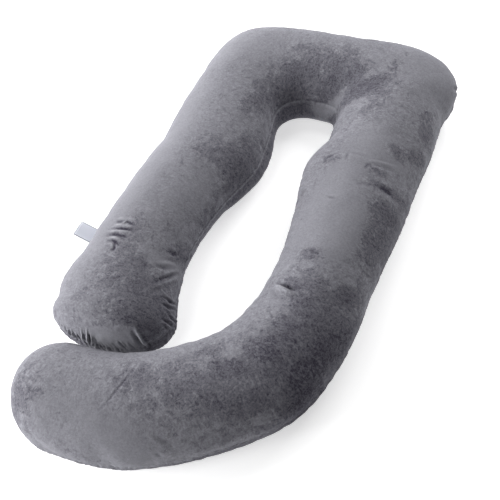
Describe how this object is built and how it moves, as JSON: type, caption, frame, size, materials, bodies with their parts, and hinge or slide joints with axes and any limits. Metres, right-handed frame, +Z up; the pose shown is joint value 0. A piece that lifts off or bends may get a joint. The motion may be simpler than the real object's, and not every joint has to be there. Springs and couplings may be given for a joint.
{
  "type": "body pillow",
  "caption": "Full-body pillow in crushed grey velvet: a U with square shoulders, one short arm and one long arm that curls under it, and a sewn-in care label.",
  "frame": {"origin": "middle of the footprint, label included, at the level of the surface the pillow lies on", "axes": "+Y along the arms towards the closed top of the U, +X towards the long arm, +Z up"},
  "size_m": [0.8486, 1.526, 0.205],
  "materials": {
    "velvet": "crushed short pile",
    "satin": "woven satin ribbon"
  },
  "bodies": {
    "root": {"pillow": "velvet", "care_label": "satin"}
  },
  "joints": []
}
